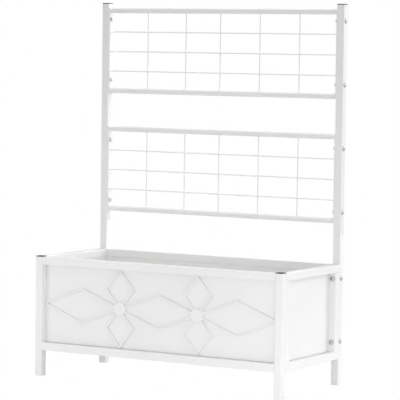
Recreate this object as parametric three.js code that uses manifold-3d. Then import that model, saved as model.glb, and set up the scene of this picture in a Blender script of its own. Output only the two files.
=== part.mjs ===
// A metal planter with a trellis, in millimetres, +Z up, standing on z = 0 with its front towards -Y.
//
// Four welded frames of square steel tube and sheet are bolted together into a box on four legs. The
// front frame carries its own legs and a lattice of bent bars in front of its sheet. The rear legs run
// up past the box, and two uprights plug into them. Two welded wire panels are bolted between the uprights.

import * as THREE from 'three';
import { mergeVertices } from 'three/addons/utils/BufferGeometryUtils.js';
import Module from 'manifold-3d';

const wasm = await Module();
wasm.setup();

// ---------------------------------------------------------------- driving sizes

// The whole planter.
const overallWidth = 900;
const overallDepth = 400;
const legClearance = 84; // floor to the underside of the box
const boxHeight = 300;
const rearLegHeight = 478; // floor to the joint where the trellis upright plugs in
const uprightTop = 1199; // floor to the open top end of the upright, under its cap

// Square tube of every leg, rail, stile and upright.
const tubeSize = 25;
const tubeWall = 1.25;
const tubeCorner = 1.5;

// Wall sheets, set back into their frames.
const sheetRecess = 22; // outer face of the tube to the outer face of the sheet
const sheetThickness = 1.25;
const seatGap = 0.1; // paint between pieces that are welded or rest face to face

// Ornament lattice of square bar in front of the front sheet.
const ornamentBar = 6;
const wideLozengeRise = 54; // bar centre line above and below the middle of the panel
const petalHalfWidth = 50; // bar centre line on each side of the hub
const petalTipInset = 4; // bar centre line below the rail that the tip is welded to
const hubRadius = 21;
const hubThickness = 7;

// Swaged lower end of the trellis upright.
const spigotLength = 60;
const spigotClearance = 0.4; // on each side, inside the rear leg
const swageShoulder = 1.5;

// Trellis panels.
const panelBottomInset = 42.5; // joint of the upright up to the axis of the lowest rail
const panelTopInset = 21.75; // open top end of the upright down to the axis of the highest rail
const panelGap = 126.75; // top rail of the lower panel to bottom rail of the upper panel, at their axes
const panelRailDiameter = 18;
const panelRailWall = 1.25;
const endBarThickness = 3;
const endBarWidth = 20;
const wireDiameter = 4;
const wireRows = 3;
const wireTopExtra = 6; // by how much the space over the highest level wire is wider than the others
const wireColumnPlaces = [-0.66, -0.315, -0.008, 0.339, 0.68]; // share of the half width between the bars
const wireWeld = 0.4; // depth that crossing wires are pressed into each other
const wireEndGap = 0.2; // end of an upright wire to the rail that it is welded to

// Bolts, nuts and the holes that they pass through.
const boltDiameter = 6;
const boltHoleClearance = 0.3; // on each side
const boltHeadDiameter = 14;
const boltHeadHeight = 4;
const boltHeadRim = 1.2; // straight edge under the head's dome
const boltTail = 2; // thread that shows past the nut
const socketAcrossFlats = 4;
const socketDepth = 2;
const nutAcrossFlats = 10;
const nutHeight = 5;
const trellisBoltBottomInset = 70; // joint of the upright up to its lowest bolt
const trellisBoltTopInset = 51; // open top end of the upright down to its highest bolt
const trellisBoltRows = 4;
const legBoltBase = 140; // floor to the lower bolt of a box corner
const legBoltPitch = 200;
const legBoltRows = 2;
const rivetNutDiameter = 9;
const rivetNutLength = 7;

// Plastic caps on the open tube ends, and the flush plugs in the feet.
const capThickness = 3;
const capOverhang = 0.4;
const capEdge = 0.8;
const plugClearance = 0.25; // on each side, inside the tube
const capPlugDepth = 18;
const footPlugDepth = 20;
const plugWall = 2;

// Base of the box.
const crossbarSize = 20;
const crossbarPlace = 0.5; // share of the half width between the legs
const trayThickness = 1.25;
const trayRimHeight = 25;
const trayClearance = 0.5; // to the rails around it
const drainHoleDiameter = 10;
const drainColumns = 6;
const drainRows = 2;

// Fineness of round shapes.
const cornerSegments = 1;
const holeSegments = 12;
const railSegments = 12;
const wireSegments = 8;
const hubSegments = 32;
const domeSteps = 3;
const hexagonSides = 6;
const cutMargin = 1; // length of a cutting shape past the faces that it cuts

// ---------------------------------------------------------------- places that follow from them

const halfWidth = overallWidth / 2;
const halfDepth = overallDepth / 2;
const legX = halfWidth - tubeSize / 2;
const legY = halfDepth - tubeSize / 2;
const frontSpan = overallWidth - 2 * tubeSize;
const sideSpan = overallDepth - 2 * tubeSize;
const boxTop = legClearance + boxHeight;
const openingHeight = boxHeight - 2 * tubeSize;
const openingMiddle = legClearance + boxHeight / 2;
const topRailZ = boxTop - tubeSize / 2;
const bottomRailZ = legClearance + tubeSize / 2;
const stileBase = legClearance + tubeSize;
const tubeBore = tubeSize - 2 * tubeWall;
const plugSize = tubeBore - 2 * plugClearance;
const boltHoleRadius = boltDiameter / 2 + boltHoleClearance;
const crossHoleLength = tubeSize + 2 * cutMargin;
const legBoltHeights = steps(legBoltRows).map((row) => legBoltBase + row * legBoltPitch);
const trellisBoltBase = rearLegHeight + trellisBoltBottomInset;
const trellisBoltPitch = (uprightTop - trellisBoltTopInset - trellisBoltBase) / (trellisBoltRows - 1);
const trellisBoltHeights = steps(trellisBoltRows).map((row) => trellisBoltBase + row * trellisBoltPitch);
const lowerPanelBase = rearLegHeight + panelBottomInset;
const panelSpan = (uprightTop - panelTopInset - lowerPanelBase - panelGap) / 2; // axis to axis of its rails
const upperPanelBase = lowerPanelBase + panelSpan + panelGap;
const wireRowPitch = (panelSpan - wireTopExtra) / (wireRows + 1); // bottom rail axis to wire, wire to wire
const lengthAlong = { x: new THREE.Euler(0, Math.PI / 2, 0), y: new THREE.Euler(-Math.PI / 2, 0, 0) };
const faceFront = new THREE.Euler(Math.PI / 2, 0, 0);
const sides = [
  { name: 'left', sign: -1 },
  { name: 'right', sign: 1 },
];

// ---------------------------------------------------------------- finishes

const whitePaint = { color: 0xf0f1ef, roughness: 0.45, metalness: 0 };
const greyPlastic = { color: 0x4a4b4d, roughness: 0.6, metalness: 0 };
const zincPlate = { color: 0xb9bcbe, roughness: 0.35, metalness: 0.9 };

// ---------------------------------------------------------------- solids

// The whole numbers from 0 up to a count.
function steps(count) {
  return Array.from({ length: count }, (_, step) => step);
}

function toSolid(geometry) {
  const bare = geometry.clone();
  bare.deleteAttribute('normal');
  bare.deleteAttribute('uv');
  const welded = mergeVertices(bare, 1e-4);
  const vertProperties = new Float32Array(welded.attributes.position.array);
  const triVerts = new Uint32Array(welded.index.array);
  return new wasm.Manifold(new wasm.Mesh({ numProp: 3, vertProperties, triVerts }));
}

function toGeometry(solid) {
  const mesh = solid.getMesh();
  const geometry = new THREE.BufferGeometry();
  geometry.setAttribute('position', new THREE.BufferAttribute(mesh.vertProperties, 3));
  geometry.setIndex(new THREE.BufferAttribute(mesh.triVerts, 1));
  geometry.computeVertexNormals();
  return geometry;
}

function joined(geometries) {
  return geometries.map(toSolid).reduce((whole, next) => whole.add(next));
}

function cut(solid, tools) {
  return tools.map(toSolid).reduce((rest, tool) => rest.subtract(tool), solid);
}

// A square with its corners rounded, centred on the origin.
function roundedSquare(size, radius) {
  const reach = size / 2 - radius;
  const outline = new THREE.Shape();
  [[1, -1], [1, 1], [-1, 1], [-1, -1]].forEach(([across, along], corner) => {
    const start = ((corner - 1) * Math.PI) / 2;
    outline.absarc(across * reach, along * reach, radius, start, start + Math.PI / 2, false);
  });
  return outline;
}

function square(size) {
  const half = size / 2;
  const corners = [[half, half], [-half, half], [-half, -half], [half, -half]];
  return new THREE.Shape(corners.map(([across, along]) => new THREE.Vector2(across, along)));
}

function extruded(shape, depth, curveSegments = cornerSegments) {
  return new THREE.ExtrudeGeometry(shape, { depth, bevelEnabled: false, curveSegments });
}

// Square tube from z = 0 up, open at both ends.
function squareTube(length, size = tubeSize) {
  const section = roundedSquare(size, tubeCorner);
  section.holes.push(square(size - 2 * tubeWall));
  return extruded(section, length);
}

// Round tube from z = 0 up, open at both ends.
function roundTube(diameter, wall, length) {
  const section = new THREE.Shape();
  section.absarc(0, 0, diameter / 2, 0, 2 * Math.PI, false);
  const bore = new THREE.Path();
  bore.absarc(0, 0, diameter / 2 - wall, 0, 2 * Math.PI, true);
  section.holes.push(bore);
  return extruded(section, length, railSegments);
}

// Round bar along an axis, centred at a place.
function roundBar(axis, radius, length, x, y, z, segments = holeSegments) {
  const bar = new THREE.CylinderGeometry(radius, radius, length, segments);
  if (axis === 'x') bar.rotateZ(Math.PI / 2);
  if (axis === 'z') bar.rotateX(Math.PI / 2);
  return bar.translate(x, y, z);
}

// Hexagonal bar along z, centred at a height.
function hexBar(acrossFlats, length, z) {
  return roundBar('z', acrossFlats / Math.sqrt(3), length, 0, 0, z, hexagonSides);
}

function boxAt(width, depth, height, x, y, z) {
  return new THREE.BoxGeometry(width, depth, height).translate(x, y, z);
}

// ---------------------------------------------------------------- assembly

const planter = new THREE.Group();

function addPiece(parent, name, finish, geometry, x, y, z, turn = new THREE.Euler()) {
  const mesh = new THREE.Mesh(geometry, new THREE.MeshStandardMaterial(finish));
  mesh.name = name;
  mesh.position.set(x, y, z);
  mesh.rotation.copy(turn);
  parent.add(mesh);
}

// Leg with two rivet nuts in the wall that faces along Y to the side frame, whose bolts they take.
function legTube(length, facing) {
  const nutMiddle = facing * (tubeSize / 2 - tubeWall - rivetNutLength / 2);
  const nuts = legBoltHeights.map((height) =>
    roundBar('y', rivetNutDiameter / 2, rivetNutLength + tubeWall, 0, nutMiddle, height));
  const bores = legBoltHeights.map((height) =>
    roundBar('y', boltHoleRadius, tubeSize, 0, (facing * tubeSize) / 2, height));
  return cut(joined([squareTube(length), ...nuts]), bores);
}

// Stile between two rails of a box frame, drilled through along an axis for the two bolts of its corner.
function stileTube(axis) {
  const holes = legBoltHeights.map((height) =>
    roundBar(axis, boltHoleRadius, crossHoleLength, 0, 0, height - stileBase));
  return toGeometry(cut(toSolid(squareTube(openingHeight)), holes));
}

// Front frame: two legs, two rails and a sheet, welded.
function addFrontFrame() {
  const frame = new THREE.Group();
  const leg = toGeometry(legTube(boxTop, 1));
  for (const { name, sign } of sides) {
    addPiece(frame, `front_leg_${name}`, whitePaint, leg, sign * legX, -legY, 0);
  }
  const rail = squareTube(frontSpan);
  addPiece(frame, 'front_top_rail', whitePaint, rail, -frontSpan / 2, -legY, topRailZ, lengthAlong.x);
  addPiece(frame, 'front_bottom_rail', whitePaint, rail, -frontSpan / 2, -legY, bottomRailZ, lengthAlong.x);
  const sheetY = -halfDepth + sheetRecess + sheetThickness / 2;
  const sheet = new THREE.BoxGeometry(
    frontSpan - 2 * seatGap, sheetThickness, openingHeight - 2 * seatGap);
  addPiece(frame, 'front_sheet', whitePaint, sheet, 0, sheetY, openingMiddle);
  planter.add(frame);
}

// A bar bent into a lozenge, in the XY plane. The half sizes are those of the bar's centre line.
function lozengeRing(halfWide, halfHigh, x, y) {
  const slant = Math.hypot(halfWide, halfHigh);
  const outline = (offset) => {
    const wide = halfWide + (offset * slant) / halfHigh;
    const high = halfHigh + (offset * slant) / halfWide;
    return [[wide, 0], [0, high], [-wide, 0], [0, -high]].map((p) => new THREE.Vector2(p[0], p[1]));
  };
  const ring = new THREE.Shape(outline(ornamentBar / 2));
  ring.holes.push(new THREE.Path(outline(-ornamentBar / 2)));
  return extruded(ring, ornamentBar).translate(x, y, 0);
}

// Ornament: three wide lozenges in a row from leg to leg, meeting at two hub discs, and one upright
// lozenge above and one below each hub. The bars are trimmed where they are welded to the frame.
function addOrnament() {
  const third = frontSpan / 3;
  const petalHalfHeight = (openingHeight / 2 - petalTipInset) / 2;
  const bars = [-1, 0, 1].map((place) => lozengeRing(third / 2, wideLozengeRise, place * third, 0));
  const hubs = [];
  for (const { sign } of sides) {
    const hubX = (sign * third) / 2;
    bars.push(lozengeRing(petalHalfWidth, petalHalfHeight, hubX, petalHalfHeight));
    bars.push(lozengeRing(petalHalfWidth, petalHalfHeight, hubX, -petalHalfHeight));
    hubs.push(roundBar('z', hubRadius, hubThickness, hubX, 0, hubThickness / 2, hubSegments));
  }
  const opening = boxAt(
    frontSpan - 2 * seatGap, openingHeight - 2 * seatGap, 2 * (hubThickness + cutMargin), 0, 0, 0);
  const lattice = joined([...bars, ...hubs]).intersect(toSolid(opening));
  const back = -halfDepth + sheetRecess - seatGap;
  addPiece(planter, 'ornament_lattice', whitePaint, toGeometry(lattice), 0, back, openingMiddle, faceFront);
}

// Side frame: rails from leg to leg, stiles between the rails, and a sheet. Bolts through each stile
// hold the frame to the leg beside it.
function addSideFrame({ name, sign }) {
  const frame = new THREE.Group();
  const rail = squareTube(sideSpan);
  const stile = stileTube('y');
  const stileY = sideSpan / 2 - tubeSize / 2;
  const sheet = new THREE.BoxGeometry(
    sheetThickness, sideSpan - 2 * tubeSize - 2 * seatGap, openingHeight - 2 * seatGap);
  const sheetX = halfWidth - sheetRecess - sheetThickness / 2;
  const x = sign * legX;
  addPiece(frame, `side_top_rail_${name}`, whitePaint, rail, x, -sideSpan / 2, topRailZ, lengthAlong.y);
  addPiece(frame, `side_bottom_rail_${name}`, whitePaint, rail, x, -sideSpan / 2, bottomRailZ, lengthAlong.y);
  addPiece(frame, `side_front_stile_${name}`, whitePaint, stile, x, -stileY, stileBase);
  addPiece(frame, `side_rear_stile_${name}`, whitePaint, stile, x, stileY, stileBase);
  addPiece(frame, `side_sheet_${name}`, whitePaint, sheet, sign * sheetX, 0, openingMiddle);
  planter.add(frame);
}

// Rear frame: rails from leg to leg, stiles between the rails, and a sheet. The bolts of the rear legs
// pass through its stiles.
function addRearFrame() {
  const frame = new THREE.Group();
  const rail = squareTube(frontSpan);
  addPiece(frame, 'rear_top_rail', whitePaint, rail, -frontSpan / 2, legY, topRailZ, lengthAlong.x);
  addPiece(frame, 'rear_bottom_rail', whitePaint, rail, -frontSpan / 2, legY, bottomRailZ, lengthAlong.x);
  const stile = stileTube('x');
  for (const { name, sign } of sides) {
    addPiece(frame, `rear_stile_${name}`, whitePaint, stile, sign * (legX - tubeSize), legY, stileBase);
  }
  const sheet = new THREE.BoxGeometry(
    frontSpan - 2 * tubeSize - 2 * seatGap, sheetThickness, openingHeight - 2 * seatGap);
  const sheetY = halfDepth - sheetRecess - sheetThickness / 2;
  addPiece(frame, 'rear_sheet', whitePaint, sheet, 0, sheetY, openingMiddle);
  planter.add(frame);
}

// Rear leg: open at the top for the upright, and drilled across for the rear frame's bolts.
function rearLeg() {
  const holes = legBoltHeights.map((height) => roundBar('x', boltHoleRadius, crossHoleLength, 0, 0, height));
  return toGeometry(cut(legTube(rearLegHeight, -1), holes));
}

// Trellis upright: the tube's lower end is swaged down to a spigot that slides into the rear leg, and
// its shoulder rests on the leg's open end. Its origin is at that shoulder.
function trellisUpright() {
  const spigotSize = tubeBore - 2 * spigotClearance;
  const spigotBore = spigotSize - 2 * tubeWall;
  const length = uprightTop - rearLegHeight;
  const swageLength = spigotLength + swageShoulder;
  const outside = joined([
    extruded(roundedSquare(tubeSize, tubeCorner), length),
    extruded(roundedSquare(spigotSize, tubeCorner), swageLength).translate(0, 0, -spigotLength),
  ]);
  const bores = [
    extruded(square(tubeBore), length).translate(0, 0, swageShoulder),
    extruded(square(spigotBore), swageLength + 2 * cutMargin).translate(0, 0, -spigotLength - cutMargin),
  ];
  const holes = trellisBoltHeights.map((height) =>
    roundBar('x', boltHoleRadius, crossHoleLength, 0, 0, height - rearLegHeight));
  return toGeometry(cut(outside, [...bores, ...holes]));
}

function addPosts() {
  const leg = rearLeg();
  const upright = trellisUpright();
  for (const { name, sign } of sides) {
    addPiece(planter, `rear_leg_${name}`, whitePaint, leg, sign * legX, legY, 0);
    addPiece(planter, `trellis_upright_${name}`, whitePaint, upright, sign * legX, legY, rearLegHeight);
  }
}

// Wires of one panel, welded where they cross, the level ones in front. Each end of the level wires is
// welded to a flat bar, drilled for the bolts of the upright beside it. The origin is on the axis of the
// bottom rail, in the middle of its length.
function wireGrid(panelBase) {
  const barInner = frontSpan / 2 - endBarThickness;
  const barMiddle = barInner + endBarThickness / 2;
  const barHeight = panelSpan + panelRailDiameter;
  const layer = (wireDiameter - wireWeld) / 2;
  const uprightLength = panelSpan - panelRailDiameter - 2 * wireEndGap;
  const uprightWires = wireColumnPlaces.map((place) =>
    roundBar('z', wireDiameter / 2, uprightLength, place * barInner, layer, panelSpan / 2, wireSegments));
  const levelWires = steps(wireRows).map((row) =>
    roundBar('x', wireDiameter / 2, 2 * barMiddle, 0, -layer, (row + 1) * wireRowPitch, wireSegments));
  const endBars = sides.map(({ sign }) =>
    boxAt(endBarThickness, endBarWidth, barHeight, sign * barMiddle, 0, panelSpan / 2));
  const holeLength = endBarThickness + 2 * cutMargin;
  const holes = sides.flatMap(({ sign }) => trellisBoltHeights.map((height) =>
    roundBar('x', boltHoleRadius, holeLength, sign * barMiddle, 0, height - panelBase)));
  return toGeometry(cut(joined([...endBars, ...levelWires, ...uprightWires]), holes));
}

// Trellis panel: two round rails between the end bars, and the welded wires.
function addTrellisPanel(name, panelBase) {
  const panel = new THREE.Group();
  panel.position.set(0, legY, panelBase);
  const railLength = frontSpan - 2 * endBarThickness;
  const rail = roundTube(panelRailDiameter, panelRailWall, railLength);
  addPiece(panel, `${name}_bottom_rail`, whitePaint, rail, -railLength / 2, 0, 0, lengthAlong.x);
  addPiece(panel, `${name}_top_rail`, whitePaint, rail, -railLength / 2, 0, panelSpan, lengthAlong.x);
  addPiece(panel, `${name}_wires`, whitePaint, wireGrid(panelBase), 0, 0, 0);
  planter.add(panel);
}

// Half section of a bolt's head: a straight rim under a shallow dome, which is part of a sphere.
function headProfile() {
  const radius = boltHeadDiameter / 2;
  const rise = boltHeadHeight - boltHeadRim;
  const sphere = (radius ** 2 + rise ** 2) / (2 * rise);
  const spread = Math.asin(radius / sphere);
  const dome = steps(domeSteps + 1).map((step) => {
    const angle = spread * (1 - step / domeSteps);
    return new THREE.Vector2(sphere * Math.sin(angle), boltHeadHeight - sphere * (1 - Math.cos(angle)));
  });
  return [new THREE.Vector2(0, 0), new THREE.Vector2(radius, 0), ...dome];
}

// Bolt with a domed socket head and a hexagon nut. Its shank runs along -Z from the face that the head
// rests on, through pieces as thick as the grip.
function bolt(gripLength) {
  const shankLength = gripLength + nutHeight + boltTail;
  const shankOverlap = boltHeadRim / 2;
  const solid = joined([
    new THREE.LatheGeometry(headProfile(), holeSegments).rotateX(Math.PI / 2),
    roundBar('z', boltDiameter / 2, shankLength + shankOverlap, 0, 0, (shankOverlap - shankLength) / 2),
    hexBar(nutAcrossFlats, nutHeight, -gripLength - nutHeight / 2),
  ]);
  return toGeometry(cut(solid, [hexBar(socketAcrossFlats, 2 * socketDepth, boltHeadHeight)]));
}

// Through bolts: four in each upright, through the end bars of the panels, and two in each rear leg,
// through the rear frame's stile. Heads outside, nuts inside.
function addBolts() {
  const trellisBolt = bolt(tubeSize + endBarThickness + seatGap);
  const legBolt = bolt(2 * tubeSize + seatGap);
  for (const { name, sign } of sides) {
    const turn = new THREE.Euler(0, (sign * Math.PI) / 2, 0);
    const x = sign * (halfWidth + seatGap);
    trellisBoltHeights.forEach((height, row) =>
      addPiece(planter, `trellis_bolt_${name}_${row + 1}`, zincPlate, trellisBolt, x, legY, height, turn));
    legBoltHeights.forEach((height, row) =>
      addPiece(planter, `leg_bolt_${name}_${row + 1}`, zincPlate, legBolt, x, legY, height, turn));
  }
}

// Plastic end cap: a flange with softened edges on the tube's end, and a hollow square plug inside it.
function addCaps() {
  const flangeSize = tubeSize + 2 * capOverhang;
  const flange = new THREE.ExtrudeGeometry(roundedSquare(flangeSize - 2 * capEdge, tubeCorner), {
    depth: capThickness - capEdge,
    bevelThickness: capEdge,
    bevelSize: capEdge,
    bevelSegments: 2,
    curveSegments: cornerSegments,
  });
  const trimSize = flangeSize + 2 * cutMargin;
  const underside = boxAt(trimSize, trimSize, 2 * capEdge, 0, 0, -capEdge);
  const plugSection = square(plugSize);
  plugSection.holes.push(square(plugSize - 2 * plugWall));
  const plug = extruded(plugSection, capPlugDepth + capThickness / 2).translate(0, 0, -capPlugDepth);
  const cap = toGeometry(cut(toSolid(flange), [underside]).add(toSolid(plug)));
  for (const { name, sign } of sides) {
    addPiece(planter, `leg_cap_${name}`, greyPlastic, cap, sign * legX, -legY, boxTop);
    addPiece(planter, `upright_cap_${name}`, greyPlastic, cap, sign * legX, legY, uprightTop);
  }
}

// Foot plug: a cup pushed into the leg until its bottom is flush with the tube's end.
function addFootPlugs() {
  const hollow = extruded(square(plugSize - 2 * plugWall), footPlugDepth).translate(0, 0, plugWall);
  const cup = toGeometry(cut(toSolid(extruded(square(plugSize), footPlugDepth)), [hollow]));
  for (const { name, sign } of sides) {
    addPiece(planter, `foot_plug_front_${name}`, greyPlastic, cup, sign * legX, -legY, 0);
    addPiece(planter, `foot_plug_rear_${name}`, greyPlastic, cup, sign * legX, legY, 0);
  }
}

// Tray with a turned-up rim and rows of drain holes in its floor. Its origin is under its middle.
function baseTray() {
  const width = frontSpan - 2 * trayClearance;
  const depth = sideSpan - 2 * trayClearance;
  const pan = boxAt(width, depth, trayRimHeight, 0, 0, trayRimHeight / 2);
  const hollow = boxAt(width - 2 * trayThickness, depth - 2 * trayThickness, trayRimHeight,
    0, 0, trayThickness + trayRimHeight / 2);
  const drains = steps(drainColumns).flatMap((column) => steps(drainRows).map((row) => {
    const x = ((column + 0.5) / drainColumns - 0.5) * width;
    const y = ((row + 0.5) / drainRows - 0.5) * depth;
    return roundBar('z', drainHoleDiameter / 2, 2 * (trayThickness + cutMargin), x, y, 0);
  }));
  return toGeometry(cut(toSolid(pan), [hollow, ...drains]));
}

// Base: two crossbars between the front and rear bottom rails, and the tray that lies on them.
function addBase() {
  const crossbar = squareTube(sideSpan, crossbarSize);
  const crossbarX = (frontSpan / 2) * crossbarPlace;
  const crossbarZ = legClearance + crossbarSize / 2;
  for (const { name, sign } of sides) {
    addPiece(planter, `base_crossbar_${name}`, whitePaint, crossbar,
      sign * crossbarX, -sideSpan / 2, crossbarZ, lengthAlong.y);
  }
  addPiece(planter, 'base_tray', whitePaint, baseTray(), 0, 0, legClearance + crossbarSize + seatGap);
}

addFrontFrame();
addOrnament();
sides.forEach(addSideFrame);
addRearFrame();
addPosts();
addTrellisPanel('lower_trellis', lowerPanelBase);
addTrellisPanel('upper_trellis', upperPanelBase);
addBolts();
addCaps();
addFootPlugs();
addBase();

export default planter;
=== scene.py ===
import bmesh
import bpy
import numpy as np
from mathutils import Matrix, Vector


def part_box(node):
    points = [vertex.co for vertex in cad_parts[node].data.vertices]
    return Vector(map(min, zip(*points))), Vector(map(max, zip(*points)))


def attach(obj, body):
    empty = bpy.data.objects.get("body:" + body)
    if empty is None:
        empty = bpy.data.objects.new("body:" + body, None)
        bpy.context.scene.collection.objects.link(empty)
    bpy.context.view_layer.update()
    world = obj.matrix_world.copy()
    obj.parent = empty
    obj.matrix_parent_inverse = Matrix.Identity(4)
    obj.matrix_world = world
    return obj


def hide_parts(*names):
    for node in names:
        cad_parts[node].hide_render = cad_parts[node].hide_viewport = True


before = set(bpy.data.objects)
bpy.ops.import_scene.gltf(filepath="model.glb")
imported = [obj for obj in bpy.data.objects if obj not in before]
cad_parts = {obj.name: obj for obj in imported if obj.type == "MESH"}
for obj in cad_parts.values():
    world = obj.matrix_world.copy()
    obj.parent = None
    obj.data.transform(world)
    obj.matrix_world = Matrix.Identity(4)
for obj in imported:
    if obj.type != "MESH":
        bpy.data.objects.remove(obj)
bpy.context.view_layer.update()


# ---------------------------------------------------------------- camera
# A long lens at the front right corner, a little under the trellis's top and tilted slightly down, so
# that the planter fills the picture's height.

image_width = 400
focal_pixels = 2303.2
camera_place = np.array([3.7425, -6.2619, 1.0758])
yaw, pitch, roll = np.radians([30.598, 3.917, -0.777])

camera_data = bpy.data.cameras.new("camera")
camera_data.sensor_width = 36.0
camera_data.lens = camera_data.sensor_width * focal_pixels / image_width
camera_data.clip_start, camera_data.clip_end = 0.1, 100.0
forward = np.array([-np.sin(yaw) * np.cos(pitch), np.cos(yaw) * np.cos(pitch), -np.sin(pitch)])
level = np.array([np.cos(yaw), np.sin(yaw), 0.0])
plumb = np.cross(forward, level)
right = level * np.cos(roll) + plumb * np.sin(roll)
up = level * np.sin(roll) - plumb * np.cos(roll)
placing = np.eye(4)
placing[:3] = np.column_stack([right, up, -forward, camera_place])
camera = bpy.data.objects.new("camera", camera_data)
camera.matrix_world = Matrix(placing)
bpy.context.scene.collection.objects.link(camera)
bpy.context.scene.camera = camera


# ---------------------------------------------------------------- studio
# A pale studio: a floor and surround that the camera sees as plain white. The surround sheds soft light
# from everywhere and twice as much from the right. Soft boxes stand behind, above and at the right rear
# of the planter, weaker ones hang high and lie low before it, and the floor near it glows softly.

floor_half = 30.0
floor_white = 0.5
floor_roughness = 0.9
lit_lift = 0.0004
lit_floor = {  # near left corner, far right corner, glow
    "lit_floor_left": ((-1.8, -0.9), (-0.75, 0.9), 0.12),
    "lit_floor_front": ((-0.75, -0.9), (0.8, -0.2), 0.4),
    "lit_floor_under": ((-0.75, -0.2), (0.75, 0.75), 0.25),
}
surround_even, surround_right = 0.54, 0.58
soft_boxes = {  # place, point aimed at, side of the square box, power in watts
    "rear_box": ((0.1, 4.4, 3.0), (0.0, 0.0, 0.4), 0.9, 66.0),
    "high_rear_box": ((0.1, 1.0, 3.6), (0.0, 0.0, 0.4), 0.6, 42.0),
    "right_rear_box": ((3.2, 3.0, 1.6), (0.0, 0.0, 0.5), 2.4, 55.0),
    "front_top_box": ((-0.5, -3.0, 3.4), (0.0, 0.0, 0.4), 2.4, 9.0),
    "low_left_box": ((-0.9, -1.1, 0.35), (-0.3, 0.0, 0.3), 0.6, 2.0),
    "low_right_box": ((0.9, -1.2, 0.35), (0.3, 0.0, 0.3), 0.6, 3.4),
}

bpy.context.scene.view_settings.view_transform = "Standard"


def soft_box(name, place, aim, side, power):
    """Square area light at a place, turned so that its -Z axis points from the place to the aim."""
    data = bpy.data.lights.new(name, "AREA")
    data.shape = "SQUARE"
    data.size = side
    data.energy = power
    light = bpy.data.objects.new(name, data)
    light.visible_camera = False
    towards = Vector(aim) - Vector(place)
    light.matrix_world = Matrix.Translation(place) @ towards.to_track_quat("-Z", "Y").to_matrix().to_4x4()
    bpy.context.scene.collection.objects.link(light)


for name, (place, aim, side, power) in soft_boxes.items():
    soft_box(name, place, aim, side, power)


def white_to_camera(tree, shader, output):
    """Mixes a shader with plain white light by whether the ray comes from the camera."""
    plain = tree.nodes.new("ShaderNodeEmission")
    chosen = tree.nodes.new("ShaderNodeMixShader")
    tree.links.new(tree.nodes.new("ShaderNodeLightPath").outputs["Is Camera Ray"], chosen.inputs["Fac"])
    tree.links.new(shader.outputs[0], chosen.inputs[1])
    tree.links.new(plain.outputs["Emission"], chosen.inputs[2])
    tree.links.new(chosen.outputs["Shader"], output.inputs["Surface"])


def surround():
    """World whose light is an even share plus the right share times how far a direction points to +X."""
    world = bpy.data.worlds.new("white_surround")
    world.use_nodes = True
    nodes, links = world.node_tree.nodes, world.node_tree.links
    shed = nodes["Background"]
    shed.inputs["Color"].default_value = (1.0, 1.0, 1.0, 1.0)
    heading = nodes.new("ShaderNodeSeparateXYZ")
    links.new(nodes.new("ShaderNodeTexCoord").outputs["Generated"], heading.inputs["Vector"])
    rightward = nodes.new("ShaderNodeMath")
    rightward.operation, rightward.use_clamp = "MULTIPLY", True
    rightward.inputs[1].default_value = surround_right
    links.new(heading.outputs["X"], rightward.inputs[0])
    total = nodes.new("ShaderNodeMath")
    total.operation = "ADD"
    total.inputs[1].default_value = surround_even
    links.new(rightward.outputs["Value"], total.inputs[0])
    links.new(total.outputs["Value"], shed.inputs["Strength"])
    white_to_camera(world.node_tree, shed, nodes["World Output"])
    bpy.context.scene.world = world


def floor_piece(name, low, high, height, glow):
    """Level white rectangle between two corners (x, y), with a glow of its own."""
    mesh = bpy.data.meshes.new(name)
    corners = [(low[0], low[1]), (high[0], low[1]), (high[0], high[1]), (low[0], high[1])]
    mesh.from_pydata([(x, y, height) for x, y in corners], [], [(0, 1, 2, 3)])
    paint = bpy.data.materials.new(name)
    paint.use_nodes = True
    shader = paint.node_tree.nodes["Principled BSDF"]
    shader.inputs["Base Color"].default_value = (floor_white, floor_white, floor_white, 1.0)
    shader.inputs["Roughness"].default_value = floor_roughness
    shader.inputs["Emission Color"].default_value = (1.0, 1.0, 1.0, 1.0)
    shader.inputs["Emission Strength"].default_value = glow
    white_to_camera(paint.node_tree, shader, paint.node_tree.nodes["Material Output"])
    mesh.materials.append(paint)
    face = bpy.data.objects.new(name, mesh)
    bpy.context.scene.collection.objects.link(face)


surround()
floor_piece("floor", (-floor_half, -floor_half), (floor_half, floor_half), 0.0, 0.0)
for name, (low, high, glow) in lit_floor.items():
    floor_piece(name, low, high, lit_lift, glow)


# ---------------------------------------------------------------- front frame
# Two legs, a top rail and a bottom rail of 25 mm square steel tube with rounded corners, welded and
# ground flush on the front, then powder coated white. The legs stand on the floor.

tube_wall = 0.00125
tube_corner = 0.0018
outline_hold = 0.0003  # keeps the flats flat beside a rounded corner
arc_steps = 5
foot_ease = 0.0005  # rounding of the edge that a leg stands on
ease_rings = 4
sharp_angle = np.radians(35)

frame_white = (0.86, 0.865, 0.858, 1.0)
frame_white_deep = (0.835, 0.84, 0.832, 1.0)
coat_grain = 620.0  # orange peel of about 1.6 mm
coat_cloud = 5.0
coat_smear = 45.0  # the gloss varies over about 22 mm
peel_strength, peel_height = 0.22, 0.00006


def rounded_outline(width, height, radius, steps=arc_steps):
    """Rectangle with rounded corners, as points (across, along), anticlockwise from the right side's top.

    Each corner is a quarter circle round a point one radius inside both sides, with one more point on
    each side just before and after it.
    """
    angle = np.linspace(0.0, np.pi / 2, steps + 1)
    arc = radius * np.column_stack([np.cos(angle), np.sin(angle)])
    corner = np.vstack([[radius, -outline_hold], arc, [-outline_hold, radius]])
    outline = []
    for quarter in range(4):
        turn = quarter * np.pi / 2
        spin = np.array([[np.cos(turn), np.sin(turn)], [-np.sin(turn), np.cos(turn)]])
        signs = np.sign((np.array([1.0, 1.0]) @ spin).round(6))
        middle = signs * (np.array([width, height]) / 2 - radius)
        outline.append(corner @ spin + middle)
    return np.vstack(outline)


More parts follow.
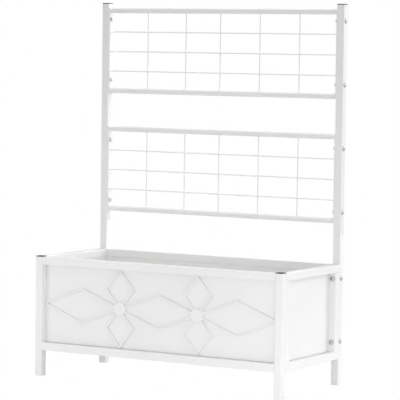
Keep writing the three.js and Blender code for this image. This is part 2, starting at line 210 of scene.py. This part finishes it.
def closed_shell(rings, joined=False):
    """Closed surface through rings of points, an array (ring, point, 3), as points and faces.

    Each quad joins two neighbouring points of two neighbouring rings. Where the rings aren't joined end to
    end, a fan round the middle of the first and last ring closes them. The faces are turned round if the
    volume that they enclose, the sum of a . (b x c) / 6 over their triangles, is negative.
    """
    rings = np.asarray(rings, dtype=float)
    count, around = rings.shape[:2]
    points = rings.reshape(-1, 3)
    index = np.arange(count * around).reshape(count, around)
    upper = np.roll(index, -1, axis=0) if joined else index[1:]
    lower = index if joined else index[:-1]
    quads = np.stack([lower, np.roll(lower, -1, axis=1), np.roll(upper, -1, axis=1), upper], axis=-1)
    quads = quads.reshape(-1, 4)
    triangles = np.vstack([quads[:, [0, 1, 2]], quads[:, [0, 2, 3]]])
    fans = np.empty((0, 3), dtype=int)
    if not joined:
        points = np.vstack([points, rings[0].mean(axis=0), rings[-1].mean(axis=0)])
        first, last = np.full(around, len(points) - 2), np.full(around, len(points) - 1)
        fans = np.vstack([
            np.column_stack([np.roll(index[0], -1), index[0], first]),
            np.column_stack([index[-1], np.roll(index[-1], -1), last]),
        ])
    a, b, c = np.moveaxis(points[np.vstack([triangles, fans])], 1, 0)
    if np.sum(a * np.cross(b, c)) < 0:
        quads, fans = quads[:, ::-1], fans[:, ::-1]
    return points, quads.tolist() + fans.tolist()


def add_piece(name, shells, material, replaces=()):
    """One object from closed shells, smooth but for its sharp edges, with its place in its mesh."""
    points, faces, offset = [], [], 0
    for shell_points, shell_faces in shells:
        points.append(shell_points)
        faces.extend([[corner + offset for corner in face] for face in shell_faces])
        offset += len(shell_points)
    mesh = bpy.data.meshes.new(name)
    mesh.from_pydata(np.vstack(points).tolist(), [], faces)
    mesh.shade_smooth()
    mesh.set_sharp_from_angle(angle=sharp_angle)
    mesh.materials.append(material)
    piece = bpy.data.objects.new(name, mesh)
    bpy.context.scene.collection.objects.link(piece)
    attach(piece, "root")
    if replaces:
        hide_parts(*replaces)
    return piece


def placed(outline, axis, height, centre):
    """Outline points laid square to an axis (0, 1 or 2), at a height along it, round a centre."""
    across, along = [i for i in range(3) if i != axis]
    points = np.empty((len(outline), 3))
    points[:, across] = outline[:, 0] + centre[across]
    points[:, along] = outline[:, 1] + centre[along]
    points[:, axis] = height
    return points


def square_ring(size, corner, axis, height, centre):
    """Square with rounded corners, laid square to an axis at a height along it."""
    return placed(rounded_outline(size, size, corner), axis, height, centre)


def tube_shell(low, high, ease=(0.0, 0.0)):
    """Square tube filling the box from low to high, along its longest side.

    Its outline is carried up the outside and back down the bore. Ease is the radius of the quarter circle
    that rounds off each end's outer edge: it draws the outline in by the radius times one less the cosine
    of the turn.
    """
    low, high = np.array(low), np.array(high)
    axis = int(np.argmax(high - low))
    centre = (low + high) / 2
    size = np.delete(high - low, axis)[0]
    start, end = low[axis], high[axis]
    rings = []
    for height, inward, edge in ((start, 1, ease[0]), (end, -1, ease[1])):
        turns = np.linspace(np.pi / 2, 0.0, ease_rings) if edge else np.array([0.0])
        for turn in turns[::inward]:
            drawn_in = edge * (1 - np.cos(turn))
            rings.append(square_ring(size - 2 * drawn_in, tube_corner - drawn_in / 2, axis,
                                     height + inward * edge * (1 - np.sin(turn)), centre))
    for height in (end, start):
        rings.append(square_ring(size - 2 * tube_wall, tube_corner - tube_wall / 2, axis, height, centre))
    return closed_shell(rings, joined=True)


def shader_node(material, kind, **values):
    """New node in a material, with its inputs set by name and its other settings as attributes."""
    node = material.node_tree.nodes.new(kind)
    for name, value in values.items():
        if name in node.inputs:
            node.inputs[name].default_value = value
        else:
            setattr(node, name, value)
    return node


def powder_coat(name, pale, deep, roughness=(0.36, 0.48)):
    """White powder coat: faint clouds of tone, a soft gloss that varies a little, and a fine orange peel."""
    coat = bpy.data.materials.new(name)
    coat.use_nodes = True
    links = coat.node_tree.links
    shader = coat.node_tree.nodes["Principled BSDF"]
    shader.inputs["IOR"].default_value = 1.5
    place = shader_node(coat, "ShaderNodeTexCoord").outputs["Object"]
    cloud = shader_node(coat, "ShaderNodeTexNoise", Scale=coat_cloud, Detail=3.0, Roughness=0.6)
    tone = shader_node(coat, "ShaderNodeValToRGB")
    tone.color_ramp.elements[0].position, tone.color_ramp.elements[1].position = 0.3, 0.7
    tone.color_ramp.elements[0].color, tone.color_ramp.elements[1].color = deep, pale
    gloss = shader_node(coat, "ShaderNodeMapRange")
    gloss.inputs["To Min"].default_value, gloss.inputs["To Max"].default_value = roughness
    smear = shader_node(coat, "ShaderNodeTexNoise", Scale=coat_smear, Detail=4.0, Roughness=0.55)
    peel = shader_node(coat, "ShaderNodeTexNoise", Scale=coat_grain, Detail=1.5, Roughness=0.45)
    relief = shader_node(coat, "ShaderNodeBump", Strength=peel_strength, Distance=peel_height)
    for texture in (cloud, smear, peel):
        links.new(place, texture.inputs["Vector"])
    links.new(cloud.outputs["Fac"], tone.inputs["Fac"])
    links.new(tone.outputs["Color"], shader.inputs["Base Color"])
    links.new(smear.outputs["Fac"], gloss.inputs["Value"])
    links.new(gloss.outputs["Result"], shader.inputs["Roughness"])
    links.new(peel.outputs["Fac"], relief.inputs["Height"])
    links.new(relief.outputs["Normal"], shader.inputs["Normal"])
    return coat


white_coat = powder_coat("white_powder_coat", frame_white, frame_white_deep)

for side in ("left", "right"):
    node = f"front_leg_{side}"
    add_piece(f"front_leg_tube_{side}", [tube_shell(*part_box(node), ease=(foot_ease, 0.0))],
              white_coat, [node])
for place in ("top", "bottom"):
    node = f"front_{place}_rail"
    add_piece(f"front_{place}_rail_tube", [tube_shell(*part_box(node))], white_coat, [node])


# ---------------------------------------------------------------- wall sheets
# Four flat sheets of 1.25 mm steel, cut to the openings of the frames and set back to their inner side,
# with a drain slot below. They are stitch welded along their sides and top, small beads fill the
# frames' inner corners at them, and the same white coat lies a shade flatter on them.

sheet_edge = 0.0003
small_arc_steps = 3  # for corners of less than a millimetre
drain_slot = 0.001
stitch_pitch = 0.14
stitch_inset = 0.06  # from the ends of an upright edge to its outer stitches
stitch_radii = (0.0095, 0.0016, 0.0016)  # along the seam, into the sheet, across the seam
corner_bead = 0.0022  # radius of the weld in each inner corner of a frame
corner_bead_run = 0.0105  # half its length across the tube

sheet_coat = powder_coat("white_sheet_coat", frame_white, frame_white_deep, roughness=(0.42, 0.5))


def full_turn(count):
    """Angles at an even pitch all the way round."""
    return np.linspace(0.0, 2 * np.pi, count, endpoint=False)


def nugget(centre, radii, rows=7, columns=14):
    """Ellipsoid: circles whose radius is the cosine of the height's angle, closed by its two poles."""
    height = np.linspace(-np.pi / 2, np.pi / 2, rows + 2)[1:-1]
    around = full_turn(columns)
    rings = np.stack([np.cos(height)[:, None] * np.cos(around), np.cos(height)[:, None] * np.sin(around),
                      np.repeat(np.sin(height)[:, None], columns, 1)], axis=-1)
    points, faces = closed_shell(rings * radii + centre)
    points[-2:] = np.array([[0.0, 0.0, -radii[2]], [0.0, 0.0, radii[2]]]) + centre
    return points, faces


def stitches(low, high, thin, inner):
    """Weld beads at an even pitch along a sheet's top and two upright edges, on its inner face."""
    wide = 1 - thin
    along, through, across = stitch_radii
    count = max(2, int((high[wide] - low[wide]) / stitch_pitch))
    seams = [(place, high[2], along, across) for place in np.linspace(low[wide], high[wide], count + 1)[1:-1]]
    seams += [(edge, height, across, along) for edge in (low[wide], high[wide])
              for height in (low[2] + stitch_inset, (low[2] + high[2]) / 2, high[2] - stitch_inset)]
    beads = []
    for place, height, level_radius, upright_radius in seams:
        centre, radii = np.zeros(3), np.zeros(3)
        centre[wide], centre[thin], centre[2] = place, inner, height
        radii[wide], radii[thin], radii[2] = level_radius, through, upright_radius
        beads.append(nugget(centre, radii))
    return beads


for node in ("front_sheet", "rear_sheet", "side_sheet_left", "side_sheet_right"):
    low, high = (np.array(corner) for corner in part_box(node))
    centre = (low + high) / 2
    thin = int(np.argmin(high - low))
    inner = high[thin] if centre[thin] < 0 else low[thin]
    outline = rounded_outline(high[0] - low[0], high[1] - low[1], sheet_edge, small_arc_steps)
    plate = closed_shell([placed(outline, 2, height, centre) for height in (low[2] + drain_slot, high[2])])
    add_piece(f"{node}_plate", [plate] + stitches(low, high, thin, inner), sheet_coat, [node])

for node, rail in (("front_sheet", "front_top_rail"), ("rear_sheet", "rear_top_rail"),
                   ("side_sheet_left", "side_top_rail_left"), ("side_sheet_right", "side_top_rail_right")):
    low, high = (np.array(corner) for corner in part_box(node))
    rail_low, rail_high = (np.array(corner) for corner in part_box(rail))
    thin = int(np.argmin(high - low))
    wide = 1 - thin
    radii = np.full(3, corner_bead)
    radii[thin] = corner_bead_run
    beads = []
    for edge in (low[wide], high[wide]):
        for height in (low[2], high[2]):
            centre = (rail_low + rail_high) / 2
            centre[wide], centre[2] = edge, height
            beads.append(nugget(centre, radii))
    add_piece(f"{node}_frame_welds", beads, white_coat)


# ---------------------------------------------------------------- ornament
# Square bar of 6 mm bent into three wide lozenges in a row and upright lozenges above and below two
# round hubs, welded together and to the frame in front of the sheet.

bar_size = 0.006
bar_corner = 0.0009
wide_rise = 0.054
petal_half_width = 0.05
petal_tip_inset = 0.004
hub_radius = 0.021
hub_edge = 0.0016
hub_segments = 64
hub_inner_ring = 0.5  # share of the radius where the flat face has one more ring
rounding_rings = 6
lattice_trim = 0.0001  # how far the tips run on before they are cut off flush with the frame


def mitred_ring(corners, outline, back):
    """Bar whose outline (across, forward) is carried through corners (x, z), with a mitre at each.

    At a corner the outline is stretched along the sum of the two runs' normals, divided by one plus
    their dot product, so that both runs keep their width. Forward is towards -Y from the back.
    """
    before = corners - np.roll(corners, 1, axis=0)
    after = np.roll(corners, -1, axis=0) - corners
    normals = [np.column_stack([-run[:, 1], run[:, 0]]) / np.linalg.norm(run, axis=1)[:, None]
               for run in (before, after)]
    mitre = (normals[0] + normals[1]) / (1 + np.sum(normals[0] * normals[1], axis=1))[:, None]
    flat = corners[:, None, :] + mitre[:, None, :] * outline[None, :, :1]
    depth = np.broadcast_to(back - outline[None, :, 1], flat.shape[:2])
    return closed_shell(np.stack([flat[..., 0], depth, flat[..., 1]], axis=-1), joined=True)


def lozenge(half_wide, half_high, x, z):
    """The four corners of a lozenge round a middle point, as points (x, z)."""
    return np.array([[half_wide, 0.0], [0.0, half_high], [-half_wide, 0.0], [0.0, -half_high]]) + [x, z]


def turned_disc(radius, thickness, edge, x, z, back):
    """Flat disc facing -Y with its front edge rounded by a quarter circle, as rings from back to front."""
    angle = np.linspace(0.0, np.pi / 2, rounding_rings)
    radii = np.concatenate([[radius], radius - edge * (1 - np.cos(angle)), [radius * hub_inner_ring]])
    heights = np.concatenate([[0.0], thickness - edge * (1 - np.sin(angle)), [thickness]])
    around = full_turn(hub_segments)
    rings = np.stack([x + radii[:, None] * np.cos(around),
                      np.repeat(back - heights[:, None], hub_segments, 1),
                      z + radii[:, None] * np.sin(around)], axis=-1)
    return closed_shell(rings)


lattice_low, lattice_high = (np.array(corner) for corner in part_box("ornament_lattice"))
lattice_back = lattice_high[1]
lattice_middle = (lattice_low[2] + lattice_high[2]) / 2
third = (lattice_high[0] - lattice_low[0] + 2 * lattice_trim) / 3
petal_half_high = ((lattice_high[2] - lattice_low[2]) / 2 + lattice_trim - petal_tip_inset) / 2
bar_outline = rounded_outline(bar_size, bar_size, bar_corner, small_arc_steps) + [0.0, bar_size / 2]
wide_rings = [mitred_ring(lozenge(third / 2, wide_rise, step * third, lattice_middle), bar_outline,
                          lattice_back)
              for step in (-1, 0, 1)]
petals = [mitred_ring(lozenge(petal_half_width, petal_half_high, hub * third / 2,
                              lattice_middle + tip * petal_half_high), bar_outline, lattice_back)
          for hub in (-1, 1) for tip in (-1, 1)]
lattice = add_piece("ornament_bars", wide_rings + petals, white_coat, ["ornament_lattice"])

# The tips are cut off flush with the frame, and the cuts are closed.
trimmed = bmesh.new()
trimmed.from_mesh(lattice.data)
for axis, place, outward in ((0, lattice_low[0], -1), (0, lattice_high[0], 1),
                             (2, lattice_low[2], -1), (2, lattice_high[2], 1)):
    plane_point, plane_normal = np.zeros(3), np.zeros(3)
    plane_point[axis], plane_normal[axis] = place, outward
    cut = bmesh.ops.bisect_plane(
        trimmed, geom=trimmed.verts[:] + trimmed.edges[:] + trimmed.faces[:],
        plane_co=plane_point, plane_no=plane_normal, clear_outer=True)
    rims = [part for part in cut["geom_cut"] if isinstance(part, bmesh.types.BMEdge)]
    bmesh.ops.edgeloop_fill(trimmed, edges=rims)
trimmed.to_mesh(lattice.data)
trimmed.free()

hub_thickness = lattice_high[1] - lattice_low[1]
for hub, side in ((-1, "left"), (1, "right")):
    disc = turned_disc(hub_radius, hub_thickness, hub_edge, hub * third / 2, lattice_middle, lattice_back)
    add_piece(f"ornament_hub_{side}", [disc], white_coat)


# ---------------------------------------------------------------- side and rear frames
# Closed rectangles of the same square tube, welded at their corners and coated like the front. They are
# bolted to the legs, so they can be packed flat.

side_tubes = [f"side_{part}_{side}" for side in ("left", "right")
              for part in ("top_rail", "bottom_rail", "front_stile", "rear_stile")]
rear_tubes = ["rear_top_rail", "rear_bottom_rail", "rear_stile_left", "rear_stile_right"]
for node in side_tubes + rear_tubes:
    add_piece(f"{node}_tube", [tube_shell(*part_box(node))], white_coat, [node])


# ---------------------------------------------------------------- rear legs and trellis uprights
# The rear legs run up past the box. The lower end of each upright is swaged down to slide into the leg,
# and the eased tube ends leave a fine joint line where they meet.

spigot_clearance = 0.0004
spigot_overlap = 0.001  # how far the spigot runs on above the joint
spigot_ease = 0.0008
joint_ease = 0.0006

for side in ("left", "right"):
    leg_low, leg_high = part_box(f"rear_leg_{side}")
    upright_low, upright_high = (np.array(corner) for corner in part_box(f"trellis_upright_{side}"))
    joint = leg_high[2]
    add_piece(f"rear_leg_tube_{side}", [tube_shell(leg_low, leg_high, ease=(foot_ease, joint_ease))],
              white_coat, [f"rear_leg_{side}"])
    inset = tube_wall + spigot_clearance
    spigot = tube_shell(upright_low + [inset, inset, 0.0],
                        [upright_high[0] - inset, upright_high[1] - inset, joint + spigot_overlap],
                        ease=(spigot_ease, 0.0))
    post = tube_shell([upright_low[0], upright_low[1], joint], upright_high, ease=(joint_ease, 0.0))
    add_piece(f"trellis_upright_tube_{side}", [post, spigot], white_coat,
              [f"trellis_upright_{side}"])


# ---------------------------------------------------------------- trellis panels
# Two like panels: an upper and a lower round rail, upright and level wires welded where they cross, and
# a flat bar at each end for the bolts, welded round the ends of the rails. The level wires lie in front
# of the upright ones.

wire_diameter = 0.004
wire_weld = 0.0004  # how far crossing wires melt into each other
wire_into_rail = 0.0006
wire_into_bar = 0.001
wire_segments = 24
wire_column_places = (-0.66, -0.315, -0.008, 0.339, 0.68)  # share of the half width between the end bars
wire_row_pitch = 0.06475
wire_row_count = 3
rail_wall = 0.00125
rail_segments = 48
end_bar_thickness = 0.003
end_bar_width = 0.02
end_bar_edge = 0.0006
nugget_radii = (0.0025, 0.0021, 0.0025)
rail_bead = 0.0014  # how far the weld round a rail's end stands out
rail_bead_rows, rail_bead_columns = 24, 32


def unit_circle(count):
    """Points (across, along) at an even pitch round a circle whose radius is one."""
    around = full_turn(count)
    return np.column_stack([np.cos(around), np.sin(around)])


def rod(start, end, radius):
    """Solid round rod along one axis: circles at both ends, their edges eased by a tenth of the radius."""
    start, end = np.array(start, dtype=float), np.array(end, dtype=float)
    axis = int(np.argmax(np.abs(end - start)))
    circle = unit_circle(wire_segments)
    ease = radius / 10
    heights = (start[axis], start[axis] + ease, end[axis] - ease, end[axis])
    radii = (radius - ease, radius, radius, radius - ease)
    return closed_shell([placed(circle * size, axis, height, start) for height, size in zip(heights, radii)])


def round_tube(low, high, wall):
    """Round tube filling a box along its longest side: circles carried up the outside and down the bore."""
    low, high = np.array(low), np.array(high)
    axis = int(np.argmax(high - low))
    centre = (low + high) / 2
    radius = np.delete(high - low, axis)[0] / 2
    circle = unit_circle(rail_segments)
    stations = ((radius, low[axis]), (radius, high[axis]),
                (radius - wall, high[axis]), (radius - wall, low[axis]))
    rings = [placed(circle * size, axis, height, centre) for size, height in stations]
    return closed_shell(rings, joined=True)


for panel in ("lower", "upper"):
    for place in ("bottom", "top"):
        node = f"{panel}_trellis_{place}_rail"
        add_piece(f"{node}_tube", [round_tube(*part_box(node), rail_wall)], white_coat, [node])
    grid_low, grid_high = (np.array(corner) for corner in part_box(f"{panel}_trellis_wires"))
    rail_low, rail_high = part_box(f"{panel}_trellis_bottom_rail")
    top_low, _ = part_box(f"{panel}_trellis_top_rail")
    base = (rail_low[2] + rail_high[2]) / 2
    middle_y = (grid_low[1] + grid_high[1]) / 2
    layer = (wire_diameter - wire_weld) / 2
    bar_inner = grid_high[0] - end_bar_thickness
    columns = [share * bar_inner for share in wire_column_places]
    rows = [base + (row + 1) * wire_row_pitch for row in range(wire_row_count)]
    radius = wire_diameter / 2
    foot, head = rail_high[2] - wire_into_rail, top_low[2] + wire_into_rail
    upright_wires = [rod((x, middle_y + layer, foot), (x, middle_y + layer, head), radius) for x in columns]
    reach = bar_inner + wire_into_bar
    level_wires = [rod((-reach, middle_y - layer, z), (reach, middle_y - layer, z), radius) for z in rows]
    outline = rounded_outline(end_bar_thickness, end_bar_width, end_bar_edge, small_arc_steps)
    bars = []
    for outer, inner in ((grid_low[0], -bar_inner), (grid_high[0], bar_inner)):
        centre = ((outer + inner) / 2, middle_y, 0.0)
        ends = [placed(outline, 2, height, centre) for height in (grid_low[2], grid_high[2])]
        bars.append(closed_shell(ends))
    welds = [nugget((x, middle_y, z), nugget_radii) for x in columns for z in rows]
    rail_radius = (rail_high[2] - rail_low[2]) / 2
    bead_radii = (rail_bead, rail_radius + rail_bead, rail_radius + rail_bead)
    welds += [nugget((end, middle_y, underside + rail_radius), bead_radii, rail_bead_rows, rail_bead_columns)
              for end in (-bar_inner, bar_inner) for underside in (rail_low[2], top_low[2])]
    add_piece(f"{panel}_trellis_grid", upright_wires + level_wires + bars + welds, white_coat,
              [f"{panel}_trellis_wires"])


# ---------------------------------------------------------------- bolts
# Zinc-plated M6 bolts with a low round head, a hexagon socket and a washer. Painted shade darkens the
# socket and the washer under the head. The long ones pass through a whole post and end in a washer and
# nut, and the short ones hold the side frames' stiles to the legs.

head_radius = 0.0064
head_height = 0.004
head_rim = 0.001
head_edge = 0.0003
dome_start = 0.0034  # radius of the dome's inner rim, round the socket's mouth
dome_rings = 9
washer_thickness = 0.0008
washer_radius = 0.0081
washer_bore = 0.0032
washer_edge = 0.0003
shank_radius = 0.003
socket_flats = 0.005
socket_depth = 0.0024
socket_floor_share = 0.9  # the floor's share of the socket's width
socket_chamfer = 0.0009  # depth from which the socket widens to its mouth
socket_mouth_depth, socket_mouth_share = 0.0006, 1.06  # where the widening ends, and how wide it is
nut_flats = 0.01
nut_height = 0.005
nut_rings = (0.0, 0.06, 0.12, 0.88, 0.94, 1.0)  # shares of the nut's height
nut_face_share, nut_cone_slope = 0.98, 1.7  # the cones that round off its corners
nut_clearance = 0.00005
bolt_tail = 0.002
thread_pitch = 0.001
thread_depth = 0.0005
thread_rings = 4  # rings to each turn of the thread
short_bolt_length = 0.031
bolt_segments = 72

zinc_pale = (0.82, 0.825, 0.83, 1.0)
zinc_deep = (0.62, 0.625, 0.63, 1.0)
painted_shade_tone = (0.19, 0.19, 0.195, 1.0)
washer_painted_shade = 0.7  # how much painted shade, a dark tone for the shadow round the head, the washers under the heads have
# the washers under the nuts are a little darker too
nut_washer_darkening = 0.2
colour_a, colour_b, colour_mixed = 6, 7, 2  # the mix node's sockets for colours


def hexagon(flats, around):
    """Distance from the middle of a hexagon to its side, by angle: half the flats over the cosine of the
    angle to the nearest flat."""
    return flats / 2 / np.cos((around + np.pi / 6) % (np.pi / 3) - np.pi / 6)


def turned(stations, sign, axis, origin):
    """Rings for a turned shape: stations are (height, radius, one number or one per angle) along an axis."""
    circle = unit_circle(bolt_segments)
    return [placed(circle * np.broadcast_to(radius, bolt_segments)[:, None], axis,
                   origin[axis] + sign * height, origin) for height, radius in stations]


def bolt_shell(origin, axis, sign, length):
    """Bolt from its socket's floor over the domed head and down the threaded shank, on its washer.

    The dome is part of a sphere, whose radius is the squares of the head's radius and of the dome's rise,
    added and divided by twice the rise. The thread is a radius that goes in and out with the height less
    the angle's share of a turn.
    """
    around = full_turn(bolt_segments)
    rise = head_height - washer_thickness - head_rim
    sphere = (head_radius ** 2 + rise ** 2) / (2 * rise)
    socket = hexagon(socket_flats, around)
    angle = np.linspace(np.arcsin(dome_start / sphere), np.arcsin(head_radius / sphere), dome_rings)
    dome = [(head_height - sphere * (1 - np.cos(turn)), sphere * np.sin(turn)) for turn in angle]
    seat = washer_thickness
    stations = [(head_height - socket_depth, socket * socket_floor_share),
                (head_height - socket_chamfer, socket),
                (head_height - socket_mouth_depth, socket * socket_mouth_share), *dome,
                (seat + head_edge, head_radius), (seat, head_radius - head_edge), (seat, shank_radius)]
    for depth in np.arange(0.0, length, thread_pitch / thread_rings)[1:]:
        phase = (depth / thread_pitch - around / (2 * np.pi)) * 2 * np.pi
        stations.append((-depth, shank_radius - thread_depth * (0.5 - 0.5 * np.cos(phase))))
    stations.append((-length, shank_radius - thread_depth))
    return closed_shell(turned(stations, sign, axis, origin))


def nut_shell(origin, axis, sign, face):
    """Hexagon nut: the smaller of the hexagon and a cone at each end, which rounds its corners off."""
    hexagonal = hexagon(nut_flats, full_turn(bolt_segments))
    stations = []
    for share in nut_rings:
        cone = nut_flats / 2 * nut_face_share + nut_cone_slope * nut_height * min(share, 1 - share)
        stations.append((face - share * nut_height, np.minimum(hexagonal, cone)))
    bore = shank_radius + nut_clearance
    stations += [(face - nut_height, bore), (face, bore)]
    return closed_shell(turned(stations, sign, axis, origin), joined=True)


def washer_shell(origin, axis, sign, seat):
    """Flat washer on a seat, with its upper rim eased."""
    top = seat + washer_thickness
    stations = [(seat, washer_bore), (seat, washer_radius), (top - washer_edge, washer_radius),
                (top, washer_radius - washer_edge), (top, washer_bore)]
    return closed_shell(turned(stations, sign, axis, origin), joined=True)


def store_painted_shade(piece, shares):
    """Stores at each point of a piece how much painted shade, the dark recess tone, it has."""
    painted_shade = piece.data.attributes.new("painted_shade", "FLOAT", "POINT")
    painted_shade.data.foreach_set("value", np.concatenate(shares))


def bolt_painted_shade(shell):
    """Painted shade shares: one for the socket's floor and wall, which are a bolt's first two rings and the
    floor's middle, the last point but one, and none for the rest."""
    shares = np.zeros(len(shell[0]))
    shares[:2 * bolt_segments], shares[-2] = 1.0, 1.0
    return shares


def zinc_plate():
    """Zinc plate: metal with a faint cloud of tone, a fine turned grain in its gloss, and painted shade, a
    dark tone in the sockets and on the washers, where the mesh asks for it."""
    plate = bpy.data.materials.new("zinc_plate")
    plate.use_nodes = True
    links = plate.node_tree.links
    shader = plate.node_tree.nodes["Principled BSDF"]
    shader.inputs["Metallic"].default_value = 1.0
    place = shader_node(plate, "ShaderNodeTexCoord").outputs["Object"]
    cloud = shader_node(plate, "ShaderNodeTexNoise", Scale=260.0, Detail=3.0, Roughness=0.6)
    tone = shader_node(plate, "ShaderNodeValToRGB")
    tone.color_ramp.elements[0].position, tone.color_ramp.elements[1].position = 0.35, 0.65
    tone.color_ramp.elements[0].color, tone.color_ramp.elements[1].color = zinc_deep, zinc_pale
    # Painted shade: the share stored on the mesh mixes the dark tone into the zinc.
    painted_shade = shader_node(plate, "ShaderNodeAttribute", attribute_name="painted_shade")
    painted_shade_mix = shader_node(plate, "ShaderNodeMix", data_type="RGBA")
    painted_shade_mix.inputs[colour_b].default_value = painted_shade_tone
    gloss = shader_node(plate, "ShaderNodeMapRange")
    gloss.inputs["To Min"].default_value, gloss.inputs["To Max"].default_value = 0.26, 0.42
    grain = shader_node(plate, "ShaderNodeTexNoise", Scale=1800.0, Detail=2.0, Roughness=0.5)
    for texture in (cloud, grain):
        links.new(place, texture.inputs["Vector"])
    links.new(cloud.outputs["Fac"], tone.inputs["Fac"])
    links.new(painted_shade.outputs["Fac"], painted_shade_mix.inputs["Factor"])
    links.new(tone.outputs["Color"], painted_shade_mix.inputs[colour_a])
    links.new(painted_shade_mix.outputs[colour_mixed], shader.inputs["Base Color"])
    links.new(grain.outputs["Fac"], gloss.inputs["Value"])
    links.new(gloss.outputs["Result"], shader.inputs["Roughness"])
    return plate


zinc = zinc_plate()

for sign, side in ((-1, "left"), (1, "right")):
    for kind, count in (("trellis", 4), ("leg", 2)):
        for number in range(1, count + 1):
            node = f"{kind}_bolt_{side}_{number}"
            low, high = (np.array(corner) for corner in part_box(node))
            outer, tip = (high[0], low[0]) if sign > 0 else (low[0], high[0])
            origin = (low + high) / 2
            origin[0] = outer - sign * head_height
            length = abs(tip - origin[0])
            nut_face = -(length - nut_height - bolt_tail) - washer_thickness
            bolt = bolt_shell(origin, 0, sign, length)
            nut = nut_shell(origin, 0, sign, nut_face)
            head_washer, nut_washer = (washer_shell(origin, 0, sign, seat) for seat in (0.0, nut_face))
            piece = add_piece(f"{kind}_bolt_turned_{side}_{number}", [bolt, nut, head_washer, nut_washer],
                              zinc, [node])
            # Painted shade in the socket and on the washer under the head; the nut's washer is a little
            # darker.
            store_painted_shade(piece, [bolt_painted_shade(bolt), np.zeros(len(nut[0])),
                             np.full(len(head_washer[0]), washer_painted_shade),
                             np.full(len(nut_washer[0]), nut_washer_darkening)])
    for place, facing in (("front", 1), ("rear", -1)):
        low, high = (np.array(corner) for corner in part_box(f"side_{place}_stile_{side}"))
        for number in (1, 2):
            leg_low, leg_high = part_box(f"leg_bolt_{side}_{number}")
            origin = (low + high) / 2
            origin[1] = high[1] if facing > 0 else low[1]
            origin[2] = (leg_low[2] + leg_high[2]) / 2
            bolt = bolt_shell(origin, 1, facing, short_bolt_length)
            washer = washer_shell(origin, 1, facing, 0.0)
            piece = add_piece(f"stile_bolt_{place}_{side}_{number}", [bolt, washer], zinc)
            # Painted shade in the socket and on the washer under the head.
            store_painted_shade(piece, [bolt_painted_shade(bolt), np.full(len(washer[0]), washer_painted_shade)])


# ---------------------------------------------------------------- end caps
# Dark grey moulded caps on the open ends of the front legs and uprights: a flange with rounded edges
# and a plug that grips inside the tube.

cap_edge = 0.0011
cap_corner = 0.0022
cap_crown = 0.0003
crown_share = 0.4  # the flat top's share of the cap's width
plug_depth = 0.018
plug_size = 0.022
plug_corner = 0.001
plug_taper = 0.002  # the plug's lower end narrows by this much over the same height

plastic_grey = (0.075, 0.076, 0.078, 1.0)
plastic_dark = (0.055, 0.056, 0.058, 1.0)


def moulded_plastic():
    """Dark grey plastic: even colour with faint clouds, and a fine spark-eroded grain."""
    plastic = bpy.data.materials.new("dark_moulded_plastic")
    plastic.use_nodes = True
    links = plastic.node_tree.links
    shader = plastic.node_tree.nodes["Principled BSDF"]
    shader.inputs["IOR"].default_value = 1.46
    place = shader_node(plastic, "ShaderNodeTexCoord").outputs["Object"]
    cloud = shader_node(plastic, "ShaderNodeTexNoise", Scale=90.0, Detail=2.0, Roughness=0.5)
    tone = shader_node(plastic, "ShaderNodeValToRGB")
    tone.color_ramp.elements[0].color, tone.color_ramp.elements[1].color = plastic_dark, plastic_grey
    gloss = shader_node(plastic, "ShaderNodeMapRange")
    gloss.inputs["To Min"].default_value, gloss.inputs["To Max"].default_value = 0.45, 0.6
    grain = shader_node(plastic, "ShaderNodeTexNoise", Scale=2400.0, Detail=2.0, Roughness=0.5)
    relief = shader_node(plastic, "ShaderNodeBump", Strength=0.35, Distance=0.00004)
    for texture in (cloud, grain):
        links.new(place, texture.inputs["Vector"])
    links.new(cloud.outputs["Fac"], tone.inputs["Fac"])
    links.new(tone.outputs["Color"], shader.inputs["Base Color"])
    links.new(cloud.outputs["Fac"], gloss.inputs["Value"])
    links.new(gloss.outputs["Result"], shader.inputs["Roughness"])
    links.new(grain.outputs["Fac"], relief.inputs["Height"])
    links.new(relief.outputs["Normal"], shader.inputs["Normal"])
    return plastic


dark_plastic = moulded_plastic()

for kind in ("leg", "upright"):
    for side in ("left", "right"):
        node = f"{kind}_cap_{side}"
        low, high = (np.array(corner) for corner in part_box(node))
        seat = low[2] + plug_depth
        size = high[0] - low[0]
        centre = (low + high) / 2
        rings = [square_ring(plug_size - plug_taper, plug_corner, 2, low[2], centre),
                 square_ring(plug_size, plug_corner, 2, low[2] + plug_taper, centre),
                 square_ring(plug_size, plug_corner, 2, seat, centre),
                 square_ring(size, cap_corner, 2, seat, centre)]
        for turn in np.linspace(0.0, np.pi / 2, rounding_rings):
            drawn_in = cap_edge * (1 - np.cos(turn))
            height = high[2] - cap_crown - cap_edge * (1 - np.sin(turn))
            rings.append(square_ring(size - 2 * drawn_in, cap_corner - drawn_in, 2, height, centre))
        rings.append(square_ring(size * crown_share, cap_corner / 2, 2, high[2], centre))
        add_piece(f"{kind}_cap_moulded_{side}", [closed_shell(rings)], dark_plastic, [node])


# ---------------------------------------------------------------- foot plugs
# Dark grey plastic cups pushed into the open lower ends of the four legs until their bottoms are flush
# with the tube, which keeps water and dirt out of it.

for place in ("front", "rear"):
    for side in ("left", "right"):
        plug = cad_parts[f"foot_plug_{place}_{side}"]
        plug.data.materials.clear()
        plug.data.materials.append(dark_plastic)


# ---------------------------------------------------------------- base
# Two crossbars of 20 mm square tube between the bottom rails, and on them a tray of sheet steel with
# drain holes and a turned-up rim, all powder coated like the frames.

for side in ("left", "right"):
    node = f"base_crossbar_{side}"
    add_piece(f"{node}_tube", [tube_shell(*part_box(node))], white_coat, [node])
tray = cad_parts["base_tray"]
tray.data.materials.clear()
tray.data.materials.append(sheet_coat)
